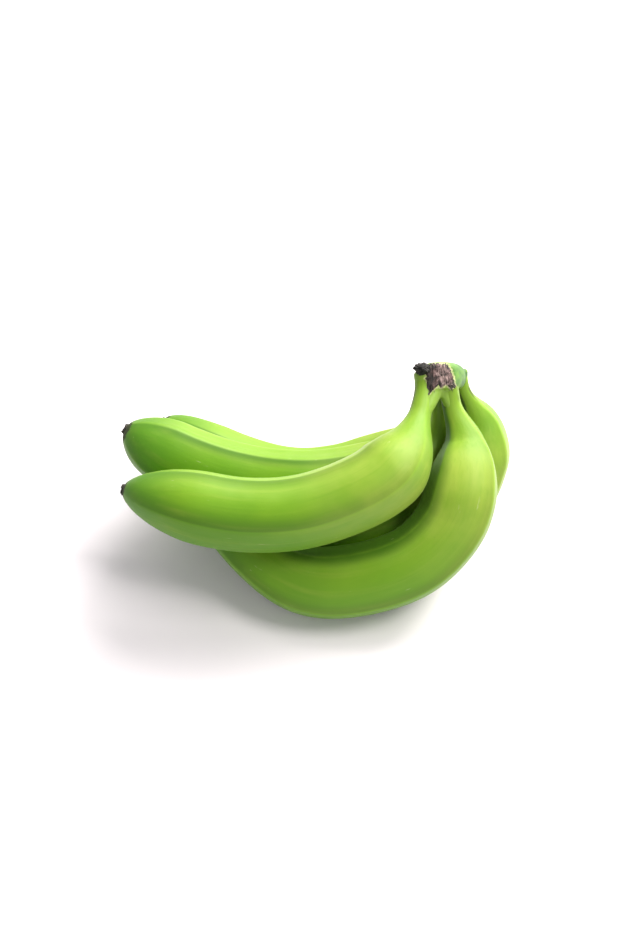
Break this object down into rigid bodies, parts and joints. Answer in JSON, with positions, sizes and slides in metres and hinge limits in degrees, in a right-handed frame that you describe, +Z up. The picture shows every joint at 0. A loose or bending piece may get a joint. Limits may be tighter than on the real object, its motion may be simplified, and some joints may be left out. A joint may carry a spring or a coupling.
{
  "type": "plantain hand",
  "caption": "Hand of unripe green plantains on one crown, lying on its side, with ridged curved fingers and dried flower ends.",
  "frame": {"origin": "on the surface the hand lies on, under the middle of its outer box", "axes": "+X towards the crown end, +Y to the back, +Z up from the surface"},
  "size_m": [0.2533, 0.1515, 0.1248],
  "materials": {
    "peel": "smooth waxy fresh peel, satin, five soft ridges, finely streaked along the finger",
    "crown": "dried fibrous cut tissue, matte, green flesh at its back and side",
    "floral_remnant": "dried and crumbling, matte"
  },
  "bodies": {
    "root": {"crown": "crown", "finger_inner_front": "peel", "finger_inner_middle": "peel", "finger_inner_back": "peel", "finger_outer_front": "peel", "finger_outer_back": "peel", "floral_remnant_inner_front": "floral_remnant", "floral_remnant_inner_middle": "floral_remnant", "floral_remnant_inner_back": "floral_remnant", "floral_remnant_outer_front": "floral_remnant", "floral_remnant_outer_back": "floral_remnant"}
  },
  "joints": []
}
